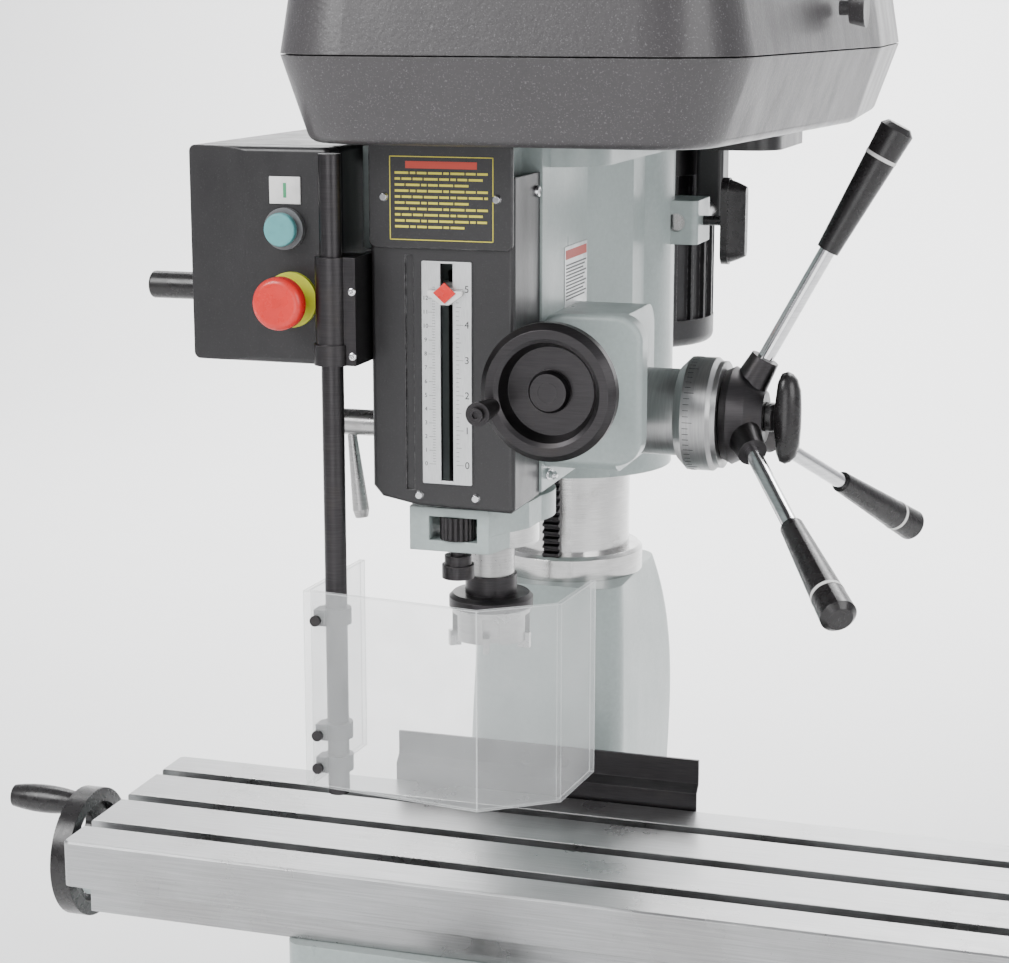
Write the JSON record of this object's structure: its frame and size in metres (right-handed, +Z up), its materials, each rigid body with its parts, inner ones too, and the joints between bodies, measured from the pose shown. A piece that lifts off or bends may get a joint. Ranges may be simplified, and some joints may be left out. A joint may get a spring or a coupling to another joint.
{
  "type": "round column milling and drilling machine",
  "caption": "Bench drill press of the mill-drill type: round column, geared quill feed, belt drive and a T-slotted cross table.",
  "frame": {"origin": "centre of the four bolt holes in the base, on the bench surface", "axes": "+Z up along the column and spindle, +X to the operator's right, -Y towards the operator"},
  "size_m": [0.928, 0.817, 0.905],
  "materials": {
    "cast_paint": "light grey hammer-free casting enamel, satin",
    "black_paint": "black speckled enamel",
    "belt_cover_paint": "charcoal hammertone enamel",
    "cast_iron": "planed cast iron, oiled",
    "ground_steel": "ground bright steel",
    "machined_steel": "turned steel",
    "dark_steel": "blackened steel",
    "chrome": "bright plate",
    "satin_plate": "satin engraved plate",
    "yellow_plate": null,
    "black_plastic": "moulded phenolic",
    "teal_plastic": "button cap",
    "red_plastic": "mushroom cap",
    "yellow_plastic": "collar",
    "clear_plastic": "milky clear polycarbonate",
    "belt_rubber": "V belt",
    "bronze": "cast bronze"
  },
  "bodies": {
    "stand": {"base": "cast_paint", "column": "ground_steel", "column_collar": "ground_steel", "saddle_bracket": "cast_paint"},
    "rack": {"lift_rack": "dark_steel"},
    "head": {"head_casting": "cast_paint", "clamp_bolts": "dark_steel", "front_cover": "black_paint", "upper_plate": "yellow_plate", "scale_plate": "satin_plate", "cover_screws": "chrome", "worm_housing": "cast_paint", "spring_housing": "cast_paint", "return_spring": "dark_steel", "belt_pan": "belt_cover_paint", "drive_belts": "belt_rubber", "slide_rods": "machined_steel", "control_box": "black_paint", "control_cover": "black_paint", "button_collars": "yellow_plastic", "guard_bracket": "dark_steel"},
    "crank": {"lift_crank": "black_plastic"},
    "saddle": {"saddle": "cast_paint", "screw_nuts": "bronze", "chip_guard": "dark_steel"},
    "saddle_screw": {"saddle_screw": "black_plastic"},
    "table": {"table": "cast_iron", "table_brackets": "cast_paint"},
    "table_screw": {"table_screw": "black_plastic"},
    "quill": {"quill": "ground_steel", "quill_bearings": "machined_steel", "stop_bracket": "cast_paint", "stop_rod": "machined_steel", "depth_pointer": "red_plastic"},
    "stop_nut": {"stop_nut": "dark_steel"},
    "spindle": {"spindle": "machined_steel", "drawbar": "machined_steel", "face_mill": "dark_steel"},
    "spindle_pulley": {"spindle_pulley": "satin_plate"},
    "idler": {"idler_pulley": "satin_plate"},
    "motor": {"motor_housing": "black_paint", "motor_plate": "black_paint"},
    "rotor": {"motor_rotor": "satin_plate"},
    "tension_knob": {"tension_knob": "black_plastic"},
    "lid": {"belt_lid": "belt_cover_paint"},
    "feed": {"feed_shaft": "machined_steel", "feed_dial": "dark_steel", "lever_hub": "dark_steel", "lever_rods": "chrome", "lever_grips": "black_plastic"},
    "clutch_knob": {"clutch_knob": "black_plastic"},
    "worm": {"worm_shaft": "machined_steel", "fine_wheel": "dark_steel"},
    "worm_gear": {"worm_gear": "bronze"},
    "quill_lock": {"quill_lock": "machined_steel"},
    "guard_post": {"guard_post": "ground_steel"},
    "guard": {"guard_shield": "clear_plastic", "guard_clips": "dark_steel"},
    "start_button": {"start_button": "teal_plastic"},
    "stop_button": {"stop_button": "red_plastic"}
  },
  "joints": [
    {"name": "head_swing", "type": "hinge", "parent": "stand", "child": "rack", "pos_m": [0, 0.167, 0.55], "axis": [0, 0, 1], "range_deg": [-180, 180]},
    {"name": "head_lift", "type": "slide", "parent": "rack", "child": "head", "axis": [0, 0, 1], "range_m": [-0.01, 0.15]},
    {"name": "lift_crank_turn", "type": "hinge", "parent": "head", "child": "crank", "pos_m": [-0.2, 0.09665, 0.6], "axis": [1, 0, 0], "range_deg": [-730, 60]},
    {"name": "saddle_travel", "type": "slide", "parent": "stand", "child": "saddle", "axis": [0, 1, 0], "range_m": [-0.088, 0.05]},
    {"name": "saddle_screw_turn", "type": "hinge", "parent": "stand", "child": "saddle_screw", "pos_m": [0, -0.2, 0.112], "axis": [0, -1, 0], "range_deg": [-6600, 3800]},
    {"name": "table_travel", "type": "slide", "parent": "saddle", "child": "table", "axis": [1, 0, 0], "range_m": [-0.3, 0.165]},
    {"name": "table_screw_turn", "type": "hinge", "parent": "table", "child": "table_screw", "pos_m": [0.067, -0.098, 0.19], "axis": [1, 0, 0], "range_deg": [-22000, 12200]},
    {"name": "quill_feed", "type": "slide", "parent": "head", "child": "quill", "axis": [0, 0, -1], "range_m": [0, 0.127], "stiffness_N_per_m": 500, "springref_m": -0.25},
    {"name": "stop_nut_turn", "type": "hinge", "parent": "quill", "child": "stop_nut", "pos_m": [-0.002, -0.128, 0.49], "axis": [0, 0, 1], "continuous": true},
    {"name": "spindle_turn", "type": "hinge", "parent": "quill", "child": "spindle", "pos_m": [0, -0.055, 0.6], "axis": [0, 0, 1], "continuous": true},
    {"name": "spindle_pulley_turn", "type": "hinge", "parent": "head", "child": "spindle_pulley", "pos_m": [0, -0.055, 0.8], "axis": [0, 0, 1], "continuous": true},
    {"name": "idler_turn", "type": "hinge", "parent": "head", "child": "idler", "pos_m": [0.088, 0.13, 0.8], "axis": [0, 0, 1], "continuous": true},
    {"name": "motor_slide", "type": "slide", "parent": "head", "child": "motor", "axis": [0, 1, 0], "range_m": [-0.004, 0.006], "deforming": ["drive_belts"]},
    {"name": "motor_turn", "type": "hinge", "parent": "motor", "child": "rotor", "pos_m": [0.008, 0.347, 0.8], "axis": [0, 0, 1], "continuous": true},
    {"name": "tension_knob_turn", "type": "hinge", "parent": "head", "child": "tension_knob", "pos_m": [0.12, 0.189, 0.69], "axis": [1, 0, 0], "range_deg": [-180, 180]},
    {"name": "lid_hinge", "type": "hinge", "parent": "head", "child": "lid", "pos_m": [-0.127, 0.1, 0.8325], "axis": [0, -1, 0], "range_deg": [0, 95]},
    {"name": "feed_turn", "type": "hinge", "parent": "head", "child": "feed", "pos_m": [0.1, -0.0063, 0.563], "axis": [1, 0, 0], "range_deg": [-1, 525]},
    {"name": "clutch_knob_turn", "type": "hinge", "parent": "feed", "child": "clutch_knob", "pos_m": [0.21, -0.0063, 0.563], "axis": [1, 0, 0], "range_deg": [-90, 360]},
    {"name": "fine_feed_turn", "type": "hinge", "parent": "head", "child": "worm", "pos_m": [0.084, -0.15, 0.605], "axis": [0, -1, 0], "continuous": true},
    {"name": "worm_gear_turn", "type": "hinge", "parent": "head", "child": "worm_gear", "pos_m": [0.084, -0.0063, 0.563], "axis": [1, 0, 0], "continuous": true},
    {"name": "quill_lock_turn", "type": "hinge", "parent": "head", "child": "quill_lock", "pos_m": [-0.1, -0.063, 0.552], "axis": [1, 0, 0], "range_deg": [-35, 35]},
    {"name": "guard_height", "type": "slide", "parent": "head", "child": "guard_post", "axis": [0, 0, 1], "range_m": [-0.012, 0.006]},
    {"name": "guard_swing", "type": "hinge", "parent": "guard_post", "child": "guard", "pos_m": [-0.08, -0.175, 0.38], "axis": [0, 0, 1], "range_deg": [-100, 0]},
    {"name": "start_press", "type": "slide", "parent": "head", "child": "start_button", "axis": [0, 1, 0], "range_m": [0, 0.003], "stiffness_N_per_m": 500, "springref_m": -0.002},
    {"name": "stop_press", "type": "slide", "parent": "head", "child": "stop_button", "axis": [0, 1, 0], "range_m": [0, 0.006], "stiffness_N_per_m": 500, "springref_m": -0.002}
  ],
  "couplings": [
    {"joint": "lift_crank_turn", "follows": "head_lift", "rad_per_m": -83.333},
    {"joint": "saddle_screw_turn", "follows": "saddle_travel", "rad_per_m": 1256.6},
    {"joint": "table_screw_turn", "follows": "table_travel", "rad_per_m": 1256.6},
    {"joint": "feed_turn", "follows": "quill_feed", "rad_per_m": 71.429},
    {"joint": "idler_turn", "follows": "motor_turn", "ratio": 0.7},
    {"joint": "spindle_pulley_turn", "follows": "motor_turn", "ratio": 0.51471},
    {"joint": "spindle_turn", "follows": "motor_turn", "ratio": 0.51471},
    {"joint": "worm_gear_turn", "follows": "fine_feed_turn", "ratio": 0.027778}
  ]
}
